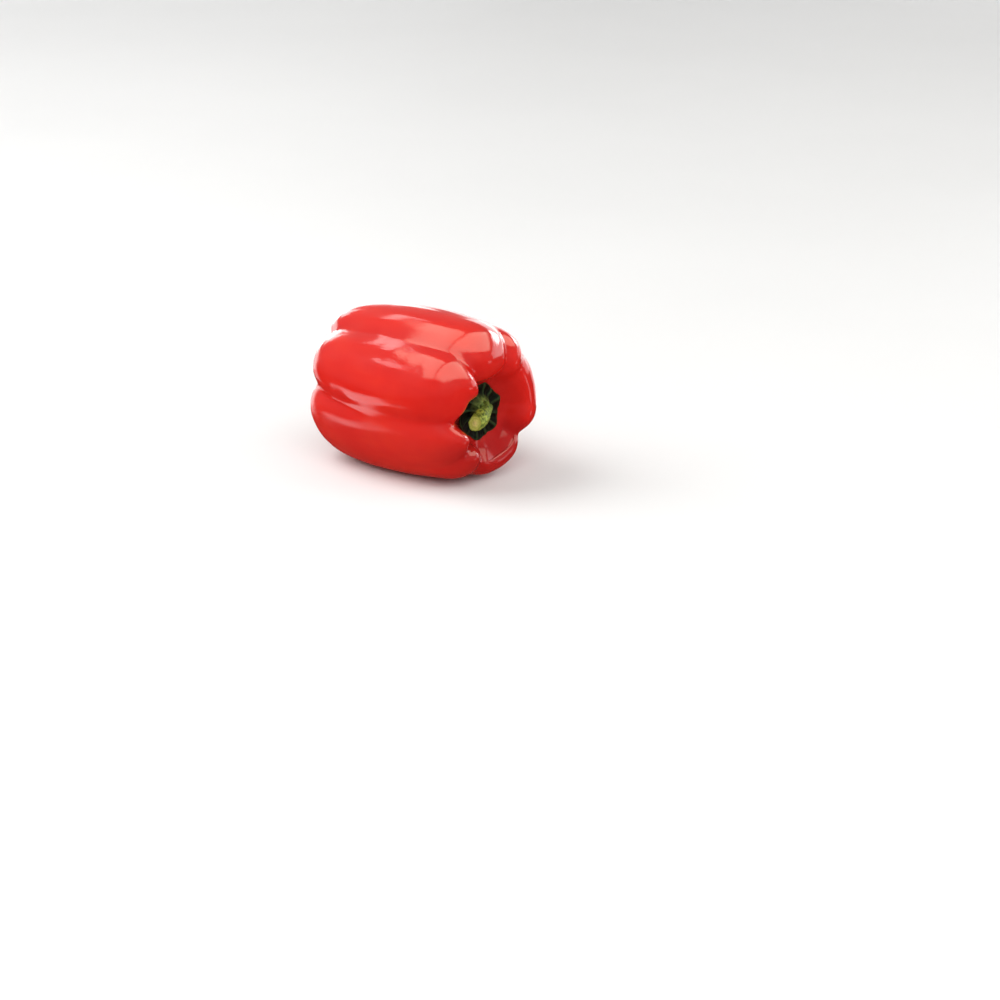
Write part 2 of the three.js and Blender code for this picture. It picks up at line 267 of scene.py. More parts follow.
# The sky that the skin mirrors, and the heights between which it turns into the ground's colour.
SKY_COLOUR = (0.34, 0.34, 0.34, 1)
GROUND_COLOUR = (0.3, 0.06, 0.05, 1)
HORIZON = (-0.15, 0.05)

# Soft boxes around the pepper: name, azimuth, elevation, width and height for each metre of distance,
# radiance, and True if the box is only mirrored or False if it only lights.
LIGHT_DISTANCE = 1.5
PEPPER_MIDDLE = 0.04
SOFT_BOXES = [
    ("key", -56, 44, 0.9, 0.9, 4.1, False),
    ("fill", 56, 38, 0.9, 0.9, 2.5, False),
    ("right_fill", 125, 28, 0.7, 0.7, 1.7, False),
    ("left_strip", -122, 6, 0.5, 0.42, 4.0, True),
    ("left_glint", -106, 20, 0.3, 0.24, 4.5, True),
    ("left_rim", -94, -8, 0.36, 0.5, 1.1, True),
    ("back_spot", 180, 21, 0.4, 0.26, 12, True),
    ("back_wall", 178, 12, 1.6, 0.5, 2.2, True),
    ("back_card", -137, -6, 2.2, 0.42, 1.4, True),
    ("low_card", -49, -20, 0.36, 0.24, 3.2, True),
    ("right_card", 118, -12, 0.34, 0.22, 2.0, True),
    ("streak_high", -103, 43, 0.24, 0.14, 3.6, True),
    ("streak_low", -56, 36, 0.16, 0.12, 4.0, True),
]
# Ceiling panels, mirrored in the tops of the lobes: name, left, right, front and back for each metre of
# height, and radiance.
CEILING_COLOUR = (1, 0.94, 0.76)
CEILING_PANELS = [
    ("ceiling_left", -0.84, -0.1, -1.2, 0.2, 3.8),
    ("ceiling_right", -0.03, 0.98, -1.1, 1.35, 4.3),
]


def mix(start, end, share):
    return start + (end - start) * share


def bell(distance):
    return np.exp(-distance * distance)


def smooth_step(start, end, value):
    share = np.clip((value - start) / (end - start), 0, 1)
    return share * share * (3 - 2 * share)


def within(value, rising, falling):
    """1 inside a soft range and 0 outside it."""
    return smooth_step(*rising, value) * (1 - smooth_step(*falling, value))


def turn_between(angle, other):
    return (angle - other + 180.0) % 360.0 - 180.0


def at_station(values, station):
    """A value given at every station, joined by smooth steps."""
    values = np.asarray(values, float)
    before = np.clip(np.floor(station).astype(int), 0, LAST - 1)
    return mix(values[before], values[before + 1], smooth_step(0, 1, station - before))


def cubic_through(knots, values):
    """A natural cubic through the points, as a function that returns value and slope."""
    count = len(knots)
    span = np.diff(knots)
    rise = np.diff(values) / span
    matrix = np.eye(count)
    target = np.zeros(count)
    for i in range(1, count - 1):
        matrix[i, i - 1:i + 2] = span[i - 1], 2 * (span[i - 1] + span[i]), span[i]
        target[i] = 6 * (rise[i] - rise[i - 1])
    bend = np.linalg.solve(matrix, target)

    def evaluate(place):
        before = np.clip(np.searchsorted(knots, place) - 1, 0, count - 2)
        width = span[before]
        first_bend, last_bend = bend[before], bend[before + 1]
        start = place - knots[before]
        left = knots[before + 1] - place
        low = values[before] / width - first_bend * width / 6
        high = values[before + 1] / width - last_bend * width / 6
        curve = (first_bend * left ** 3 + last_bend * start ** 3) / (6 * width)
        value = curve + high * start + low * left
        slope = (last_bend * start ** 2 - first_bend * left ** 2) / (2 * width) + high - low
        return value, slope

    return evaluate


def outline_curve():
    """Station number to radius, height and the two parts of the outward direction."""
    steps = np.hypot(np.diff(OUTLINE_RADIUS), np.diff(OUTLINE_HEIGHT))
    distance = np.concatenate([[0], np.cumsum(steps)])
    # Two mirrored points past each end keep the surface square to the axis where it meets it.
    whole = distance[-1]
    knots = np.concatenate([-distance[2:0:-1], distance, 2 * whole - distance[-2:-4:-1]])
    radii = np.concatenate([-OUTLINE_RADIUS[2:0:-1], OUTLINE_RADIUS, -OUTLINE_RADIUS[-2:-4:-1]])
    heights = np.concatenate([OUTLINE_HEIGHT[2:0:-1], OUTLINE_HEIGHT, OUTLINE_HEIGHT[-2:-4:-1]])
    radius_at = cubic_through(knots, radii)
    height_at = cubic_through(knots, heights)

    def evaluate(station):
        before = np.clip(np.floor(station).astype(int), 0, LAST - 1)
        walked = mix(distance[before], distance[before + 1], station - before)
        radius, radius_slope = radius_at(walked)
        height, height_slope = height_at(walked)
        length = np.hypot(radius_slope, height_slope)
        return radius, height, -height_slope / length, radius_slope / length

    return evaluate


CURVE = outline_curve()


def furrow_relief(station, angle):
    """The furrows' part of the relief, always below the mean outline."""
    course = at_station(FURROW_COURSE, station)
    strength = at_station(FURROW_STRENGTH, station)
    spread = at_station(FURROW_SPREAD, station)
    early = np.clip(course, 0, 1)
    late = np.clip(course - 1, 0, 1)
    out = np.zeros_like(station)
    for furrow in FURROWS:
        crest, middle, foot = furrow["angles"]
        centre = crest + (middle - crest) * early + (foot - middle) * late
        crest, middle, foot = furrow["depths"]
        depth = crest + (middle - crest) * early + (foot - middle) * late
        away = turn_between(angle, centre) / (furrow["width"] * spread)
        rounded = np.hypot(away, FURROW_ROUNDNESS) - FURROW_ROUNDNESS
        out -= depth * strength * np.exp(-FURROW_STEEPNESS * rounded)
    return out


def relief(station, angle):
    """How far the skin stands out from the mean outline at a station and an angle."""
    out = furrow_relief(station, angle)
    for centre, spread, middle, reach, height in BULGES:
        out += height * bell(turn_between(angle, centre) / spread) * bell((station - middle) / reach)
    rising, falling = RELIEF_STATIONS
    return out * smooth_step(*rising, station) * (1 - smooth_step(*falling, station))


def skin_points(station, angle, extra=0.0):
    """Points of the skin in the fruit's own frame, in millimetres."""
    radius, height, outward, onward = CURVE(station)
    out = relief(station, angle) + extra
    radius = radius + outward * out
    shift = AXIS_SHIFT * smooth_step(*AXIS_SHIFT_STATIONS, station)
    y = radius * np.cos(np.radians(angle)) + shift * math.cos(math.radians(AXIS_SHIFT_ANGLE))
    z = radius * np.sin(np.radians(angle)) + shift * math.sin(math.radians(AXIS_SHIFT_ANGLE))
    return np.stack([height + onward * out, y, z], -1)


def ripples(points, wavelength, stretch=(1, 1, 1), seed=0.0):
    """Gentle random waves of one wavelength, in millimetres, from -1 to 1, the same on every run."""
    scaled = points / wavelength * np.array(stretch) + seed
    flat = scaled.reshape(-1, 3)
    values = np.array([noise.noise(Vector(point)) for point in flat])
    return values.reshape(points.shape[:-1])


def skin_waves(name, points):
    """One kind of the small waves in the skin, in millimetres."""
    height, length, along, seed = SKIN_WAVES[name]
    return height * ripples(points, length, (along, 1, 1), seed)


def patch(name, station, angle):
    """1 in the middle of a patch of skin, fading to 0 around it."""
    centre, spread, middle, reach = SKIN_PATCHES[name]
    return bell(turn_between(angle, centre) / spread) * bell((station - middle) / reach)


def circle_in_noise(angle, radius, onward):
    """Places in the noise that run in a circle, so that waves around an axis join up with themselves."""
    around = np.radians(angle)
    return np.stack([np.cos(around) * radius, np.sin(around) * radius, onward], -1)


def grid(rows, columns):
    """Station-like rows by angles, both as two-dimensional arrays."""
    return np.meshgrid(rows, np.arange(columns) * 360.0 / columns, indexing="ij")


def lay_down(points):
    """From the fruit's own frame to the row frame, in metres."""
    tilt = math.radians(RESTING_TILT)
    x, y, z = points[..., 0], points[..., 1], points[..., 2]
    tilted_x = x * math.cos(tilt) - z * math.sin(tilt)
    tilted_z = x * math.sin(tilt) + z * math.cos(tilt)
    return np.stack([tilted_x, y, tilted_z], -1) / MM_PER_METRE + PLACE


def find_place():
    """Where the fruit's own frame has to go so that the fine skin fills the fruit node's box."""
    rows = np.arange(1, LAST * FITTING_ROWS_PER_STATION) / FITTING_ROWS_PER_STATION
    station, angle = grid(rows, FITTING_COLUMNS)
    tilted = lay_down(skin_points(station, angle)).reshape(-1, 3)
    low, high = (np.array(corner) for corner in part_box("fruit"))
    middle = (low + high) / 2 - (tilted.min(0) + tilted.max(0)) / 2
    return np.array([middle[0], middle[1], high[2] - tilted.max(0)[2]])


# The fruit is laid down at the origin first, which shows how far it has to be moved.
PLACE = np.zeros(3)
PLACE = find_place()


def closed_mesh(name, first, rings, last, flip=False):
    """A closed body from rings of points between a first and a last point, in the row frame."""
    rows, columns = rings.shape[:2]
    points = np.concatenate([[first], rings.reshape(-1, 3), [last]])
    column = np.arange(columns)
    following = (column + 1) % columns
    pairs = list(zip(column, following))
    faces = [(0, 1 + this, 1 + beside) for this, beside in pairs]
    end = len(points) - 1
    start = 1 + (rows - 1) * columns
    faces += [(end, start + beside, start + this) for this, beside in pairs]
    for i in range(rows - 1):
        here = 1 + i * columns
        there = here + columns
        faces += [(here + this, there + this, there + beside, here + beside) for this, beside in pairs]
    if flip:
        faces = [face[::-1] for face in faces]
    mesh = bpy.data.meshes.new(name)
    mesh.from_pydata(points.tolist(), [], [tuple(int(i) for i in face) for face in faces])
    mesh.polygons.foreach_set("use_smooth", [True] * len(mesh.polygons))
    piece = bpy.data.objects.new(name, mesh)
    bpy.context.scene.collection.objects.link(piece)
    return piece


def remember(piece, name, first, rings, last):
    """Store one number per point for the materials to read."""
    values = np.concatenate([[first], np.asarray(rings, float).ravel(), [last]])
    attribute = piece.data.attributes.new(name, "FLOAT", "POINT")
    attribute.data.foreach_set("value", values.astype(np.float32))


def make_fruit():
    """The skin: the part's own surface, drawn finely, with the small unevenness of a grown fruit."""
    rows = np.arange(1, LAST * FRUIT_ROWS_PER_STATION) / FRUIT_ROWS_PER_STATION
    station, angle = grid(rows, FRUIT_COLUMNS)
    base = skin_points(station, angle)
    uneven = skin_waves("swells", base) + skin_waves("dents", base)
    streaks = skin_waves("streaks", base) * within(station, *STREAKED_STATIONS)
    streaks += skin_waves("wrinkles", base) * patch("wrinkled", station, angle)
    streaks += skin_waves("dimples", base) * patch("dimpled", station, angle)
    circle = circle_in_noise(angle, PUCKERS_AROUND, station * PUCKERS_ALONG)
    puckers = PUCKER_HEIGHT * ripples(circle, 1, seed=5.9)
    puckers = puckers * bell((station - PUCKER_STATION) / PUCKER_REACH) * smooth_step(*PUCKER_START, station)
    extra = (uneven + streaks) * within(station, *UNEVEN_STATIONS) + puckers
    points = lay_down(skin_points(station, angle, extra))
    # Waves that would reach below the surface that the pepper lies on are pressed flat against it.
    points[..., 2] = np.maximum(points[..., 2], 0)
    first, last = (lay_down(skin_points(np.array([end]), np.array([0.0])))[0] for end in (0.0, float(LAST)))
    piece = closed_mesh("fruit_skin", first, points, last)
    # The furrows' depth, which the skin's material reads to darken them as painted shade.
    remember(piece, "furrow", 0, np.clip(-furrow_relief(station, angle) / FURROW_FULL_SHADE, 0, 1), 0)
    remember(piece, "station", 0, station, LAST)
    underside = within(angle, *UNDERSIDE_ANGLES)
    remember(piece, "underside", 0, underside * smooth_step(*UNDERSIDE_START, station), 0)
    # Painted shade: the skin is darkened on the lower side of the stem end.
    stem_end_shade = within(angle, *STEM_END_SHADE_ANGLES)
    rising, falling = STEM_END_SHADE_STATIONS
    stem_end_shade = stem_end_shade * smooth_step(*rising, station) * (1 - smooth_step(*falling, station))
    remember(piece, "stem_end_shade", 0, stem_end_shade, 0)
    # Painted shade: the pocket beside the calyx is marked to be painted near-black.
    pocket_shade = bell(turn_between(angle, POCKET_SHADE_ANGLE) / POCKET_SHADE_SPREAD)
    pocket_shade = pocket_shade * (1 - smooth_step(*POCKET_SHADE_END, station))
    remember(piece, "pocket_shade", 0, pocket_shade, 0)
    remember(piece, "brushed", 0, patch("brushed", station, angle), 0)
    return piece


def station_at_radius(radius, middle, outer):
    """The station between two others at which the mean outline has a given radius."""
    inside = np.full(radius.shape, float(middle))
    outside = np.full(radius.shape, float(outer))
    for _ in range(40):
        half = (inside + outside) / 2
        below = CURVE(half)[0] < radius
        inside = np.where(below, half, inside)
        outside = np.where(below, outside, half)
    return (inside + outside) / 2


def body_on_skin(name, middle, outer, facing, rows, columns, edge, thickness):
    """A body that lies on the skin: its underside follows the skin, its top stands a thickness above it."""
    share, angle = grid(np.arange(1, rows + 1) / rows, columns)
    station = station_at_radius(edge(angle) * share, middle, outer)
    under = skin_points(station, angle)
    under[..., 0] += facing * GAP
    over = under.copy()
    over[..., 0] += facing * thickness(share, angle)
    centre = skin_points(np.array([float(middle)]), np.array([0.0]))[0]
    centre_thickness = thickness(np.zeros(1), np.zeros(1))[0]
    below = centre + np.array([facing * GAP, 0, 0])
    above = below + np.array([facing * centre_thickness, 0, 0])
    rings = np.concatenate([under, over[::-1]])
    piece = closed_mesh(name, lay_down(below), lay_down(rings), lay_down(above), flip=facing > 0)
    remember(piece, "share", 0, np.concatenate([share, share[::-1]]), 0)
    return piece, share, angle


def swelling(angle, count, sharpness):
    """Equal swellings around the calyx: 1 on the line of each and 0 between two of them."""
    return (0.5 + 0.5 * np.cos(np.radians((angle - CALYX_TURN) * count))) ** sharpness


def calyx_edge(angle):
    """The rim: rounded corners, small crinkles and one long sepal that reaches into a furrow."""
    corners = CALYX_CORNER_REACH * swelling(angle, CALYX_CORNERS, CALYX_CORNER_SHARPNESS)
    tips = corners + CALYX_RIB_TIP_REACH * swelling(angle, CALYX_RIBS, CALYX_RIB_TIP_SHARPNESS)
    crinkles = sum(reach * np.sin(np.radians(angle * count + turn)) for reach, count, turn in CRINKLES)
    long_sepal = LONG_SEPAL_REACH * bell(turn_between(angle, LONG_SEPAL_ANGLE) / LONG_SEPAL_SPREAD)
    return CALYX_RADIUS * (CALYX_MEAN_EDGE + tips + crinkles + long_sepal)


def collar_distance(share, angle):
    """How far a point of the calyx is from the collar's middle, which is a little above the centre."""
    radius = calyx_edge(angle) * share
    sideways = radius * np.cos(np.radians(angle))
    upwards = radius * np.sin(np.radians(angle)) - COLLAR_SHIFT
    return np.hypot(sideways, upwards)


def calyx_relief(share, angle):
    """The ribs and veins of the calyx, in millimetres above or below its mean surface."""
    circle = circle_in_noise(angle, VEINS_AROUND, share * VEINS_OUTWARD)
    ribs = CALYX_RIB * (swelling(angle, CALYX_RIBS, CALYX_RIB_SHARPNESS) - CALYX_RIB_SUNK)
    ribs = ribs * (1 + CALYX_RIB_UNEVENNESS * ripples(circle, 1, seed=8.3))
    return ribs + VEIN_HEIGHT * ripples(circle, VEIN_LENGTH, seed=2.2)


def calyx_thickness(share, angle):
    """The thickness of the calyx: a thin rim, ribs between it and the collar, and the raised collar."""
    distance = collar_distance(share, angle)
    collar_top = STEM_ROOT_RADIUS * 0.9
    ribs_start = COLLAR_RADIUS * 0.7
    rim = CALYX_RIM * (1 - RIM_THINNING * smooth_step(RIM_START, 1, share))
    ribbed = smooth_step(collar_top, ribs_start, distance)
    ribbed = ribbed * (1 - smooth_step(RIBS_END, 1, share))
    collar = COLLAR_HEIGHT * (1 - smooth_step(collar_top, COLLAR_RADIUS, distance))
    return rim + calyx_relief(share, angle) * ribbed + collar


def make_calyx():
    piece, share, angle = body_on_skin("calyx_disc", 0, 2, 1, CALYX_ROWS, CALYX_COLUMNS, calyx_edge,
                                       calyx_thickness)
    ribs = calyx_relief(share, angle)
    remember(piece, "rib", 0, np.concatenate([ribs, ribs[::-1]]), 0)
    distance = collar_distance(share, angle)
    remember(piece, "collar", 0, np.concatenate([distance, distance[::-1]]), 0)
    return piece


def make_scar():
    """The dry scar of the flower, highest in its middle."""
    def thickness(share, angle):
        waves = SCAR_TOP_WAVE * np.cos(np.radians(angle * SCAR_TOP_WAVES)) * share
        return SCAR_HEIGHT * (1 - SCAR_FALL * share ** 2) * (1 + waves)

    def edge(angle):
        return SCAR_RADIUS * (1 + SCAR_EDGE_WAVE * np.sin(np.radians(angle * SCAR_EDGE_WAVES)))

    piece, _, _ = body_on_skin("scar_disc", LAST, LAST - 1, -1, SCAR_ROWS, SCAR_COLUMNS, edge, thickness)
    return piece


def unit(vectors):
    return vectors / np.linalg.norm(vectors, axis=-1, keepdims=True)


def stem_path(share, foot, lean):
    """The stem's centre line and its heading: up from the collar, leaning over, and out to the cut face."""
    rises = STEM_RISE * np.array(STEM_RISES)
    reaches = STEM_REACH * np.array(STEM_REACHES)
    way = share[:, None]
    left = 1 - way
    weights = np.hstack([left ** 3, 3 * way * left ** 2, 3 * way * way * left, way ** 3])
    slopes = np.hstack([-3 * left ** 2, 3 * left * (1 - 3 * way), 3 * way * (2 - 3 * way), 3 * way * way])
    along = np.array([1.0, 0, 0])
    centre = foot + np.outer(weights @ rises, along) + np.outer(weights @ reaches, lean)
    heading = np.outer(slopes @ rises, along) + np.outer(slopes @ reaches, lean)
    return centre, unit(heading)


def stem_radius(share):
    """The stem's mean radius: a thick root, a neck, a flare towards the cut and a rounded end."""
    root = (STEM_ROOT_RADIUS - STEM_NECK_RADIUS) * (1 - smooth_step(0, ROOT_END, share))
    flare = (STEM_END_RADIUS - STEM_NECK_RADIUS) * smooth_step(*FLARE, share)
    rounding = END_ROUNDING * smooth_step(END_ROUNDING_START, 1, share)
    return STEM_NECK_RADIUS + root + flare - rounding


def stem_side_radius(share, angle):
    """The radius with the stem's long ridges and the knuckle halfway along it."""
    ridge = mix(RIDGE_AT_ROOT, RIDGE_AT_END, smooth_step(ROOT_END, 1, share))
    ridges = ridge * np.cos(np.radians(angle * CALYX_RIBS / 2))
    fine = FINE_RIDGE * np.cos(np.radians(angle * FINE_RIDGES + FINE_RIDGE_TURN))
    bend_side = 0.5 + 0.5 * np.cos(np.radians(angle - KNUCKLE_ANGLE))
    knuckle = KNUCKLE * bell((share - KNUCKLE_PLACE) / KNUCKLE_REACH) * bend_side
    return stem_radius(share) * (1 + ridges + fine + knuckle)


def cut_face(centre, last_ring, cut, inward):
    """Rings that shrink towards the middle of the cut and dip a little inside its rim."""
    rim = last_ring - centre
    dip = CUT_DISH * smooth_step(0, CUT_DISH_WIDTH, 1 - inward) - CUT_PITH * bell(inward / CUT_PITH_REACH)
    face = centre + rim[None] * inward[:, None, None] - cut * dip[:, None, None]
    rough = CUT_ROUGHNESS * ripples(face, CUT_ROUGHNESS_LENGTH, seed=4.4)
    return face + cut * rough[..., None]


def make_stem():
    """The stem's side, and a dished cut face that closes it."""
    lean_angle = math.radians(STEM_LEAN_ANGLE)
    lean = np.array([0, math.cos(lean_angle), math.sin(lean_angle)])
    foot = np.array([SEAT_HEIGHT + GAP + CALYX_RIM + COLLAR_HEIGHT + GAP, 0, COLLAR_SHIFT])
    side, angle = grid(np.linspace(0, 1, STEM_ROWS), STEM_COLUMNS)
    centre, heading = stem_path(side[:, 0], foot, lean)
    # Towards its end the stem's cross-section turns from square to the stem to the slant of the knife cut.
    cut = unit(np.array(CUT_DIRECTION))
    facing = unit(mix(heading, cut, smooth_step(CUT_TURN_START, 1, side[:, :1])))
    sideways = np.cross(np.array([1.0, 0, 0]), lean)
    sideways = unit(sideways - facing * (facing @ sideways)[:, None])
    across = np.cross(sideways, facing)
    radius = stem_side_radius(side, angle)
    cosine, sine = np.cos(np.radians(angle)), np.sin(np.radians(angle))
    rings = centre[:, None] + across[:, None] * (radius * cosine)[..., None]
    rings = rings + sideways[:, None] * (radius * sine)[..., None]
    inward = np.linspace(1, 0, CUT_ROWS + 1)[1:-1]
    face = cut_face(centre[-1], rings[-1], cut, inward)
    middle = centre[-1] - cut * CUT_MIDDLE_DIP
    # The first ring is sunk into the collar so that stem and calyx look grown together.
    sink = np.array([-STEM_SUNK, 0, 0])
    buried = rings[:1] + sink
    whole = np.concatenate([buried, rings, face])
    first = lay_down(centre[0] + sink)
    piece = closed_mesh("stem_stalk", first, lay_down(whole), lay_down(middle), flip=True)
    side_rows, face_rows = STEM_ROWS + 1, CUT_ROWS - 1
    every_column = np.ones(STEM_COLUMNS)
    is_cut = np.concatenate([np.zeros(side_rows), np.ones(face_rows)])[:, None] * every_column
    spread = np.concatenate([np.ones(side_rows), inward])[:, None] * every_column
    along = np.concatenate([[0], side[:, 0], np.ones(face_rows)])[:, None] * every_column
    remember(piece, "cut", 0, is_cut, 1)
    remember(piece, "spread", 0, spread, 0)
    remember(piece, "along", 0, along, 1)
    return piece


class Shading:
    """A few short ways to build a node material."""

    def __init__(self, name):
        self.material = bpy.data.materials.new(name)
        self.material.use_nodes = True
        self.tree = self.material.node_tree
        self.shader = self.tree.nodes["Principled BSDF"]
        self.place = self.tree.nodes.new("ShaderNodeTexCoord").outputs["Object"]

    def link(self, source, target):
        self.tree.links.new(source, target)

    def stretched(self, stretch):
        node = self.tree.nodes.new("ShaderNodeMapping")
        node.inputs["Scale"].default_value = stretch
        self.link(self.place, node.inputs["Vector"])
        return node.outputs["Vector"]

    def noise(self, scale, detail=3.0, roughness=0.5, distortion=0.0, stretch=None):
        node = self.tree.nodes.new("ShaderNodeTexNoise")
        node.inputs["Scale"].default_value = scale
        node.inputs["Detail"].default_value = detail
        node.inputs["Roughness"].default_value = roughness
        node.inputs["Distortion"].default_value = distortion
        self.link(self.stretched(stretch) if stretch else self.place, node.inputs["Vector"])
        return node.outputs["Fac"]

    def attribute(self, name):
        node = self.tree.nodes.new("ShaderNodeAttribute")
        node.attribute_name = name
        return node.outputs["Fac"]

    def ramp(self, source, stops):
        node = self.tree.nodes.new("ShaderNodeValToRGB")
        elements = node.color_ramp.elements
        while len(elements) < len(stops):
            elements.new(0.5)
        for element, (position, colour) in zip(elements, stops):
            element.position = position
            element.color = (*colour, 1) if len(colour) == 3 else colour
        self.link(source, node.inputs["Fac"])
        return node.outputs["Color"]

    def span(self, source, low, high, start=0.0, end=1.0):
        node = self.tree.nodes.new("ShaderNodeMapRange")
        node.inputs["From Min"].default_value = start
        node.inputs["From Max"].default_value = end
        node.inputs["To Min"].default_value = low
        node.inputs["To Max"].default_value = high
        self.link(source, node.inputs["Value"])
        return node.outputs["Result"]

    def mixed(self, share, first, second):
        node = self.tree.nodes.new("ShaderNodeMix")
        node.data_type = "RGBA"
        self.link(share, node.inputs["Factor"])
        for value, socket in ((first, node.inputs["A"]), (second, node.inputs["B"])):
            if isinstance(value, tuple):
                socket.default_value = (*value, 1)
            else:
                self.link(value, socket)
        return node.outputs["Result"]

    def sum(self, first, second, factor=1.0):
        node = self.tree.nodes.new("ShaderNodeMath")
        node.operation = "MULTIPLY_ADD"
        node.inputs[1].default_value = factor
        self.link(second, node.inputs[0])
        self.link(first, node.inputs[2])
        return node.outputs["Value"]

    def product(self, first, second):
        node = self.tree.nodes.new("ShaderNodeMath")
        node.operation = "MULTIPLY"
        self.link(first, node.inputs[0])
        self.link(second, node.inputs[1])
        return node.outputs["Value"]

    def bump(self, height, strength, distance):
        node = self.tree.nodes.new("ShaderNodeBump")
        node.inputs["Strength"].default_value = strength
        node.inputs["Distance"].default_value = distance
        self.link(height, node.inputs["Height"])
        self.link(node.outputs["Normal"], self.shader.inputs["Normal"])

    def set(self, **values):
        for name, value in values.items():
            self.shader.inputs[name.replace("_", " ")].default_value = value


def skin_material():
    """Wet-looking red skin: mottled and streaked reds, a clear waxy gloss and the faintest pores.

    Painted shade darkens it in the furrows, in the stem cavity, low on the stem end and in the pocket beside
    the calyx.
    It is a little duller low on the front, mirrors less inside the cavity and has fine strokes on one patch.
    """
    reds = [(0.3, (0.56, 0.012, 0.008)), (0.55, (0.62, 0.016, 0.009)), (0.75, (0.66, 0.024, 0.010))]
    streak_red = (0.54, 0.010, 0.009)
    # Painted shade: darker reds for the furrows, the stem cavity and the stem end, near-black for the calyx
    # pocket.
    furrow_shade_red = (0.46, 0.008, 0.008)
    throat_shade_red = (0.36, 0.014, 0.013)
    stem_end_shade_red = (0.30, 0.007, 0.008)
    pocket_shade_colour = (0.03, 0.003, 0.003)
    surface = Shading("pepper_skin")
    mottle = surface.ramp(surface.noise(28, detail=4, distortion=0.4), reds)
    streaks = surface.span(surface.noise(160, detail=2, stretch=(0.12, 1, 1)), 0.0, 0.35, 0.35, 0.75)
    streaked = surface.mixed(streaks, mottle, streak_red)
    # Painted shade: the skin is darker red in the furrows.
    furrow_shade = surface.span(surface.attribute("furrow"), 0.0, 0.5, 0.35, 1.0)
    base = surface.mixed(furrow_shade, streaked, furrow_shade_red)
    # Painted shade: the skin is darker red deep in the stem cavity.
    throat_shade = surface.span(surface.attribute("station"), 0.6, 0.0, 1.1, 2.6)
    inner = surface.mixed(throat_shade, base, throat_shade_red)
    # Painted shade: darker red low on the stem end.
    stem_end_shade = surface.mixed(surface.span(surface.attribute("stem_end_shade"), 0.0, 0.7), inner, stem_end_shade_red)
    # Painted shade: near-black in the pocket beside the calyx.
    colour = surface.mixed(surface.attribute("pocket_shade"), stem_end_shade, pocket_shade_colour)
    surface.link(colour, surface.shader.inputs["Base Color"])
    waxy = surface.span(surface.noise(55, detail=4), 0.09, 0.17, 0.3, 0.7)
    dull = surface.span(surface.attribute("underside"), 0.0, 0.1)
    surface.link(surface.sum(waxy, dull), surface.shader.inputs["Roughness"])
    mirroring = surface.span(surface.attribute("station"), 0.2, 0.5, 2.2, 3.1)
    surface.link(mirroring, surface.shader.inputs["Specular IOR Level"])
    pores = surface.sum(surface.noise(380, detail=3), surface.noise(1400, detail=2), 0.25)
    brushing = surface.noise(600, detail=3, stretch=(0.3, 1, 1))
    strokes = surface.product(surface.attribute("brushed"), brushing)
    surface.bump(surface.sum(pores, strokes, 12.0), 0.06, 0.0002)
    surface.set(IOR=1.45, Subsurface_Weight=0.06, Subsurface_Scale=0.003, Subsurface_Radius=(1.0, 0.2, 0.1))
    return surface.material


def sepal_material():
    """Dark green calyx: paler ribs and rim, a fibrous olive collar, dull and finely wrinkled."""
    greens = [(0.4, (0.0008, 0.0016, 0.0008)), (0.6, (0.003, 0.006, 0.002)), (0.8, (0.010, 0.020, 0.006))]
    olives = [(0.38, (0.05, 0.08, 0.015)), (0.62, (0.20, 0.27, 0.05))]
    rib_green = (0.03, 0.06, 0.018)
    rim_green = (0.03, 0.045, 0.012)
    surface = Shading("pepper_calyx")
    blotches = surface.ramp(surface.noise(260, detail=5, roughness=0.6), greens)
    ribs = surface.mixed(surface.span(surface.attribute("rib"), 0.0, 0.8, 0.1, 0.5), blotches, rib_green)
    fibres = surface.ramp(surface.noise(520, detail=4), olives)
    collar = surface.mixed(surface.span(surface.attribute("collar"), 0.9, 0.0, 3.4, 7.0), ribs, fibres)
    rim = surface.mixed(surface.span(surface.attribute("share"), 0.0, 0.5, 0.93, 1.0), collar, rim_green)
    surface.link(rim, surface.shader.inputs["Base Color"])
    surface.link(surface.span(surface.noise(300), 0.42, 0.68), surface.shader.inputs["Roughness"])
    surface.bump(surface.sum(surface.noise(700, detail=4), surface.noise(2400), 0.3), 0.5, 0.0003)
    surface.set(Specular_IOR_Level=0.12)
    return surface.material


def stalk_material():
    """Yellow-green stem with long streaks, and a pale, ringed, dry cut face."""
    greens = [(0.0, (0.07, 0.12, 0.016)), (0.3, (0.15, 0.22, 0.025)), (0.8, (0.30, 0.37, 0.045))]
    streak_green = (0.035, 0.065, 0.007)
    # From the middle of the cut to its rim.
    cut_colours = [
        (0.0, (0.72, 0.62, 0.24)), (0.4, (0.66, 0.66, 0.18)), (0.62, (0.45, 0.52, 0.09)),
        (0.78, (0.56, 0.60, 0.13)), (0.95, (0.24, 0.32, 0.04)),
    ]
    grain_green = (0.30, 0.36, 0.06)
    surface = Shading("pepper_stem")
    length = surface.ramp(surface.attribute("along"), greens)
    streaks = surface.span(surface.noise(640, detail=5, roughness=0.7), 0.0, 1.0, 0.42, 0.6)
    side = surface.mixed(streaks, length, streak_green)
    rings = surface.ramp(surface.attribute("spread"), cut_colours)
    grain = surface.span(surface.noise(900, detail=3), 0.0, 0.6, 0.45, 0.7)
    face = surface.mixed(grain, rings, grain_green)
    surface.link(surface.mixed(surface.attribute("cut"), side, face), surface.shader.inputs["Base Color"])
    surface.link(surface.span(surface.noise(500), 0.45, 0.7), surface.shader.inputs["Roughness"])
    surface.bump(surface.sum(surface.noise(900, detail=4), surface.noise(3000), 0.4), 0.5, 0.0003)
    surface.set(Specular_IOR_Level=0.25)
    return surface.material


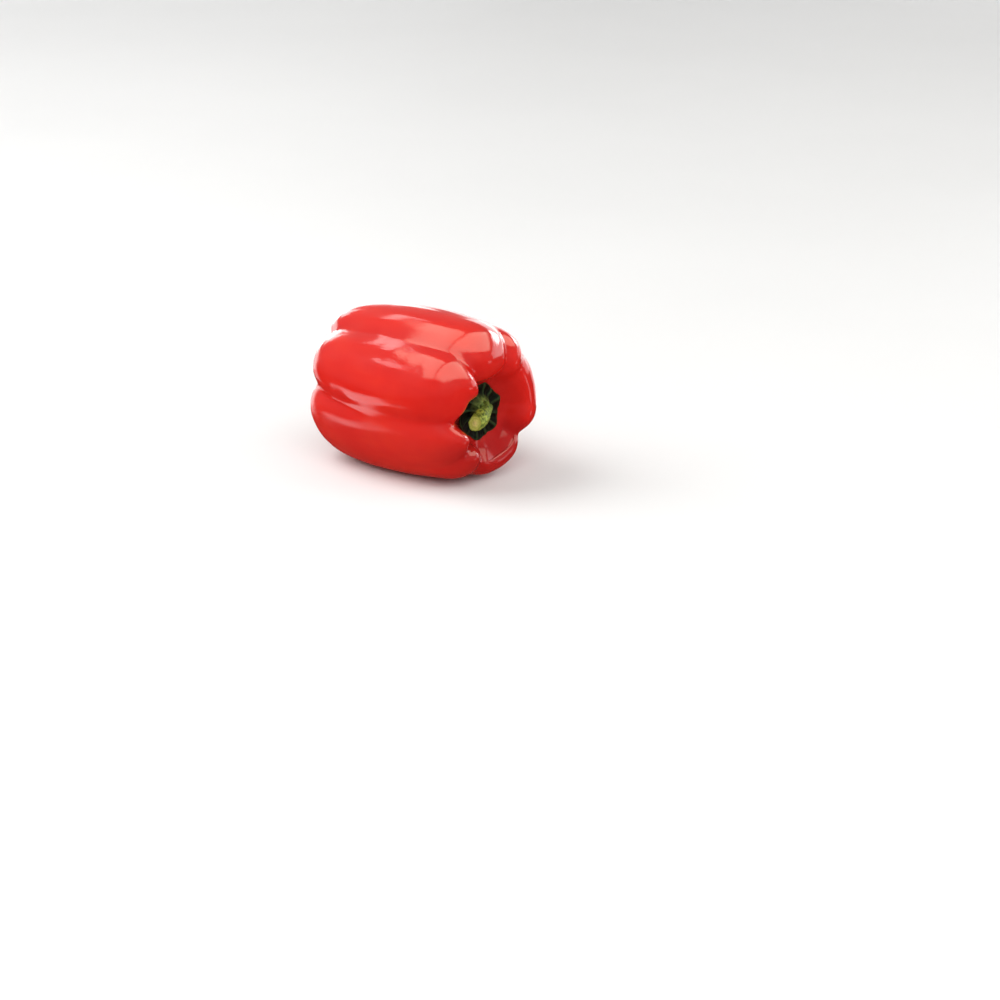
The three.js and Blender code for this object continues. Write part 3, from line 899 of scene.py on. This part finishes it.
def scar_material():
    """Dry, corky, pale brown."""
    browns = [(0.3, (0.16, 0.10, 0.05)), (0.55, (0.42, 0.32, 0.18)), (0.8, (0.60, 0.50, 0.32))]
    surface = Shading("pepper_scar")
    cork = surface.ramp(surface.noise(900, detail=5, roughness=0.7), browns)
    surface.link(cork, surface.shader.inputs["Base Color"])
    surface.link(surface.span(surface.noise(700), 0.7, 0.9), surface.shader.inputs["Roughness"])
    surface.bump(surface.noise(1800, detail=5), 0.8, 0.0004)
    return surface.material


def finish_piece(piece, material, node):
    piece.data.materials.append(material)
    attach(piece, "root")
    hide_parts(node)


def direction(azimuth, elevation):
    """Towards a place around the object: azimuth 0 is the front, 90 the right, 180 the back."""
    turn, lift = math.radians(azimuth), math.radians(elevation)
    return Vector((math.sin(turn) * math.cos(lift), -math.cos(turn) * math.cos(lift), math.sin(lift)))


def make_floor():
    half = FLOOR_HALF_SIZE
    mesh = bpy.data.meshes.new("floor")
    corners = [(-half, -half, 0), (half, -half, 0), (half, half, 0), (-half, half, 0)]
    mesh.from_pydata(corners, [], [(0, 1, 2, 3)])
    floor = bpy.data.objects.new("floor", mesh)
    bpy.context.scene.collection.objects.link(floor)
    surface = Shading("pale_floor")
    surface.link(surface.ramp(surface.noise(3), FLOOR_GREYS), surface.shader.inputs["Base Color"])
    surface.set(Roughness=0.85)
    mesh.materials.append(surface.material)
    # The floor bounces light up, but the skin doesn't mirror it.
    floor.visible_glossy = False


def area_light(name, width, height, radiance, mirrored):
    """A soft light that either lights the pepper or is only mirrored in its skin."""
    light = bpy.data.lights.new(name, "AREA")
    light.shape = "RECTANGLE"
    light.size = width
    light.size_y = height
    light.energy = radiance * math.pi * width * height
    holder = bpy.data.objects.new(name, light)
    bpy.context.scene.collection.objects.link(holder)
    holder.visible_camera = False
    holder.visible_glossy = mirrored
    holder.visible_diffuse = not mirrored
    return holder


def soft_box(name, azimuth, elevation, width, height, radiance, mirrored):
    """A soft light that faces the pepper from the side."""
    holder = area_light(name, width * LIGHT_DISTANCE, height * LIGHT_DISTANCE, radiance, mirrored)
    target = Vector((0, 0, PEPPER_MIDDLE))
    holder.location = target + direction(azimuth, elevation) * LIGHT_DISTANCE
    holder.rotation_euler = (target - holder.location).to_track_quat("-Z", "Y").to_euler()


def ceiling_panel(name, left, right, front, back, radiance):
    """A level light above the pepper, mirrored in the tops of its lobes."""
    width, depth = (right - left) * LIGHT_DISTANCE, (back - front) * LIGHT_DISTANCE
    holder = area_light(name, width, depth, radiance, True)
    holder.data.color = CEILING_COLOUR
    middle = Vector(((left + right) / 2, (front + back) / 2, 1))
    holder.location = middle * LIGHT_DISTANCE + Vector((0, 0, PEPPER_MIDDLE))


def make_lights():
    world = bpy.data.worlds.new("studio")
    world.use_nodes = True
    # Pale above the horizon and dim red below it, where the skin mirrors its own red light on the ground.
    tree = world.node_tree
    height = tree.nodes.new("ShaderNodeSeparateXYZ")
    share = tree.nodes.new("ShaderNodeMapRange")
    share.inputs["From Min"].default_value, share.inputs["From Max"].default_value = HORIZON
    colour = tree.nodes.new("ShaderNodeMix")
    colour.data_type = "RGBA"
    colour.inputs["A"].default_value = GROUND_COLOUR
    colour.inputs["B"].default_value = SKY_COLOUR
    tree.links.new(tree.nodes.new("ShaderNodeTexCoord").outputs["Generated"], height.inputs["Vector"])
    tree.links.new(height.outputs["Z"], share.inputs["Value"])
    tree.links.new(share.outputs["Result"], colour.inputs["Factor"])
    tree.links.new(colour.outputs["Result"], tree.nodes["Background"].inputs["Color"])
    bpy.context.scene.world = world
    for box in SOFT_BOXES:
        soft_box(*box)
    for panel in CEILING_PANELS:
        ceiling_panel(*panel)


def make_camera():
    """The photograph's view: same angle, and the calyx at the same place in the frame."""
    low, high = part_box("calyx")
    calyx = (low + high) / 2
    back = direction(CAMERA_AZIMUTH, CAMERA_ELEVATION)
    right = direction(CAMERA_AZIMUTH + 90, 0)
    up = back.cross(right)
    # The size of one pixel at the pepper, in metres.
    pixel = 0.001 / PIXELS_PER_MM
    half = FRAME_PIXELS / 2
    aim = calyx - right * (CALYX_PIXEL[0] - half) * pixel + up * (CALYX_PIXEL[1] - half) * pixel
    camera = bpy.data.cameras.new("camera")
    camera.sensor_width = SENSOR_WIDTH
    camera.lens = SENSOR_WIDTH * CAMERA_DISTANCE / (FRAME_PIXELS * pixel)
    holder = bpy.data.objects.new("camera", camera)
    bpy.context.scene.collection.objects.link(holder)
    holder.location = aim + back * CAMERA_DISTANCE
    holder.rotation_euler = (-back).to_track_quat("-Z", "Y").to_euler()
    bpy.context.scene.camera = holder


finish_piece(make_fruit(), skin_material(), "fruit")
finish_piece(make_calyx(), sepal_material(), "calyx")
finish_piece(make_stem(), stalk_material(), "stem")
finish_piece(make_scar(), scar_material(), "blossom_scar")
make_floor()
make_lights()
make_camera()
bpy.context.scene.view_settings.view_transform = "Standard"
